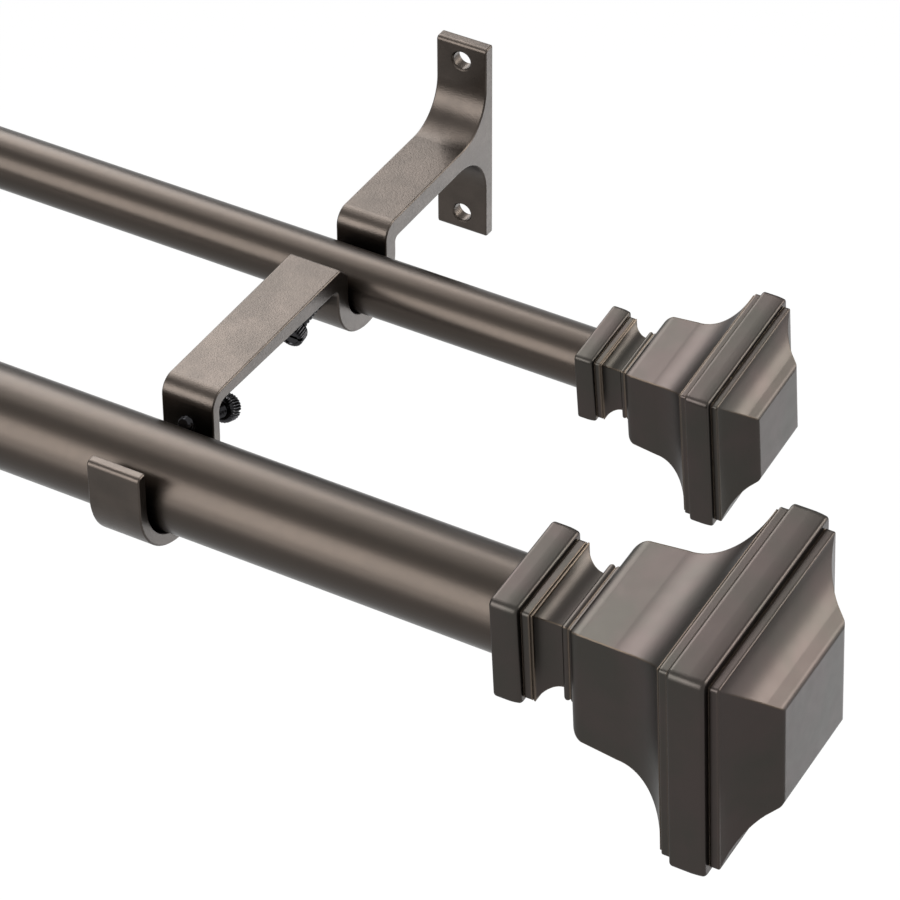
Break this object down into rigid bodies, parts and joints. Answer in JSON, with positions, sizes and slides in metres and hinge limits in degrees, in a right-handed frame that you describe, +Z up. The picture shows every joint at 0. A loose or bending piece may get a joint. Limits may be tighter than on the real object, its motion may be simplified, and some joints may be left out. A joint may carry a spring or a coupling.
{
  "type": "double curtain pole",
  "caption": "Double curtain pole with telescoping front and back rods resting in the cradles of stepped wall brackets, held by thumb screws and ended by square moulded finials.",
  "frame": {"origin": "middle of the right bracket's wall plate, on the wall", "axes": "+X along the rods to the right, +Y back into the wall, +Z up"},
  "size_m": [0.8605, 0.1887, 0.0735],
  "materials": {
    "bracket_powder_coat": "fine-textured satin powder coat, dark bronze",
    "rod_paint": "smooth satin dark bronze paint",
    "finial_paint": "satin dark bronze paint on cast resin",
    "screw_black": "black oxide",
    "stud_steel": "zinc plated",
    "nylon": "moulded"
  },
  "bodies": {
    "pole": {"bracket_right": "bracket_powder_coat", "bracket_left": "bracket_powder_coat", "front_outer_tube": "rod_paint", "back_outer_tube": "rod_paint", "front_end_plug_right": "nylon", "front_finial_stud_right": "stud_steel", "front_finial_right": "finial_paint", "back_end_plug_right": "nylon", "back_finial_stud_right": "stud_steel", "back_finial_right": "finial_paint"},
    "front_inner_rod": {"front_inner_tube": "rod_paint", "front_glide": "nylon", "front_end_plug_left": "nylon", "front_finial_stud_left": "stud_steel", "front_finial_left": "finial_paint"},
    "back_inner_rod": {"back_inner_tube": "rod_paint", "back_glide": "nylon", "back_end_plug_left": "nylon", "back_finial_stud_left": "stud_steel", "back_finial_left": "finial_paint"},
    "thumb_screw_front_right": {"thumb_screw_front_right": "screw_black"},
    "thumb_screw_back_right": {"thumb_screw_back_right": "screw_black"},
    "thumb_screw_front_left": {"thumb_screw_front_left": "screw_black"},
    "thumb_screw_back_left": {"thumb_screw_back_left": "screw_black"}
  },
  "joints": [
    {"name": "front_tube_slide", "type": "slide", "parent": "pole", "child": "front_inner_rod", "axis": [-1, 0, 0], "range_m": [0, 0.508]},
    {"name": "back_tube_slide", "type": "slide", "parent": "pole", "child": "back_inner_rod", "axis": [-1, 0, 0], "range_m": [0, 0.508]},
    {"name": "thumb_screw_front_right_turn", "type": "hinge", "parent": "pole", "child": "thumb_screw_front_right", "pos_m": [0, -0.1393, -0.004], "axis": [0, 0.9272, -0.3746], "range_deg": [0, 1440]},
    {"name": "thumb_screw_back_right_turn", "type": "hinge", "parent": "pole", "child": "thumb_screw_back_right", "pos_m": [0, -0.0746, -0.005], "axis": [0, -0.9816, -0.1908], "range_deg": [0, 1440]},
    {"name": "thumb_screw_front_left_turn", "type": "hinge", "parent": "pole", "child": "thumb_screw_front_left", "pos_m": [-0.5, -0.1393, -0.004], "axis": [0, 0.9272, -0.3746], "range_deg": [0, 1440]},
    {"name": "thumb_screw_back_left_turn", "type": "hinge", "parent": "pole", "child": "thumb_screw_back_left", "pos_m": [-0.5, -0.0746, -0.005], "axis": [0, -0.9816, -0.1908], "range_deg": [0, 1440]}
  ]
}
